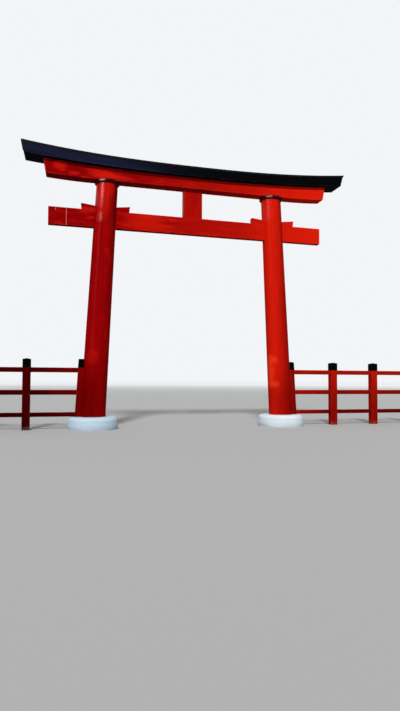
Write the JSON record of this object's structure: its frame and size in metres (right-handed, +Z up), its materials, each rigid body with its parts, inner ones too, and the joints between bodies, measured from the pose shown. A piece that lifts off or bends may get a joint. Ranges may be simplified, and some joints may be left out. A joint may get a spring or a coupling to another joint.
{
  "type": "torii gate",
  "caption": "Vermilion timber torii gate: leaning round columns on white plinths, wedged tie beam, upswept black top lintel and low rail fences running out from the columns.",
  "frame": {"origin": "on the ground, midway between the columns", "axes": "+X along the beams to the right, +Y through the gate to the back, +Z up"},
  "size_m": [15.3386, 1.404, 8.0548],
  "materials": {
    "vermilion_lacquer": "vermilion lacquer over smooth planed timber, glossy with soft uneven streaks",
    "black_lacquer": "black lacquer over timber, satin",
    "copper_cover": "dark weathered sheet copper over boards",
    "dark_bronze": "black-brown lacquered rings with a gloss",
    "white_plaster": "matt white lime plaster, hand trowelled",
    "black_caps": "black metal caps, satin"
  },
  "bodies": {
    "root": {"left_plinth": "white_plaster", "left_column": "vermilion_lacquer", "left_capital_ring": "dark_bronze", "right_plinth": "white_plaster", "right_column": "vermilion_lacquer", "right_capital_ring": "dark_bronze", "tie_beam": "vermilion_lacquer", "left_outer_wedge": "vermilion_lacquer", "left_inner_wedge": "vermilion_lacquer", "right_inner_wedge": "vermilion_lacquer", "right_outer_wedge": "vermilion_lacquer", "centre_strut": "vermilion_lacquer", "lower_lintel": "vermilion_lacquer", "upper_lintel": "black_lacquer", "roof_cover": "copper_cover", "left_fence_end_post": "vermilion_lacquer", "left_fence_post_1": "vermilion_lacquer", "left_fence_post_2": "vermilion_lacquer", "left_fence_post_3": "vermilion_lacquer", "right_fence_end_post": "vermilion_lacquer", "right_fence_post_1": "vermilion_lacquer", "right_fence_post_2": "vermilion_lacquer", "right_fence_post_3": "vermilion_lacquer", "left_fence_cap_0": "black_caps", "left_fence_cap_1": "black_caps", "left_fence_cap_2": "black_caps", "left_fence_cap_3": "black_caps", "right_fence_cap_0": "black_caps", "right_fence_cap_1": "black_caps", "right_fence_cap_2": "black_caps", "right_fence_cap_3": "black_caps", "left_fence_top_rail": "vermilion_lacquer", "left_fence_middle_rail": "vermilion_lacquer", "left_fence_bottom_rail": "vermilion_lacquer", "right_fence_top_rail": "vermilion_lacquer", "right_fence_middle_rail": "vermilion_lacquer", "right_fence_bottom_rail": "vermilion_lacquer"}
  },
  "joints": []
}
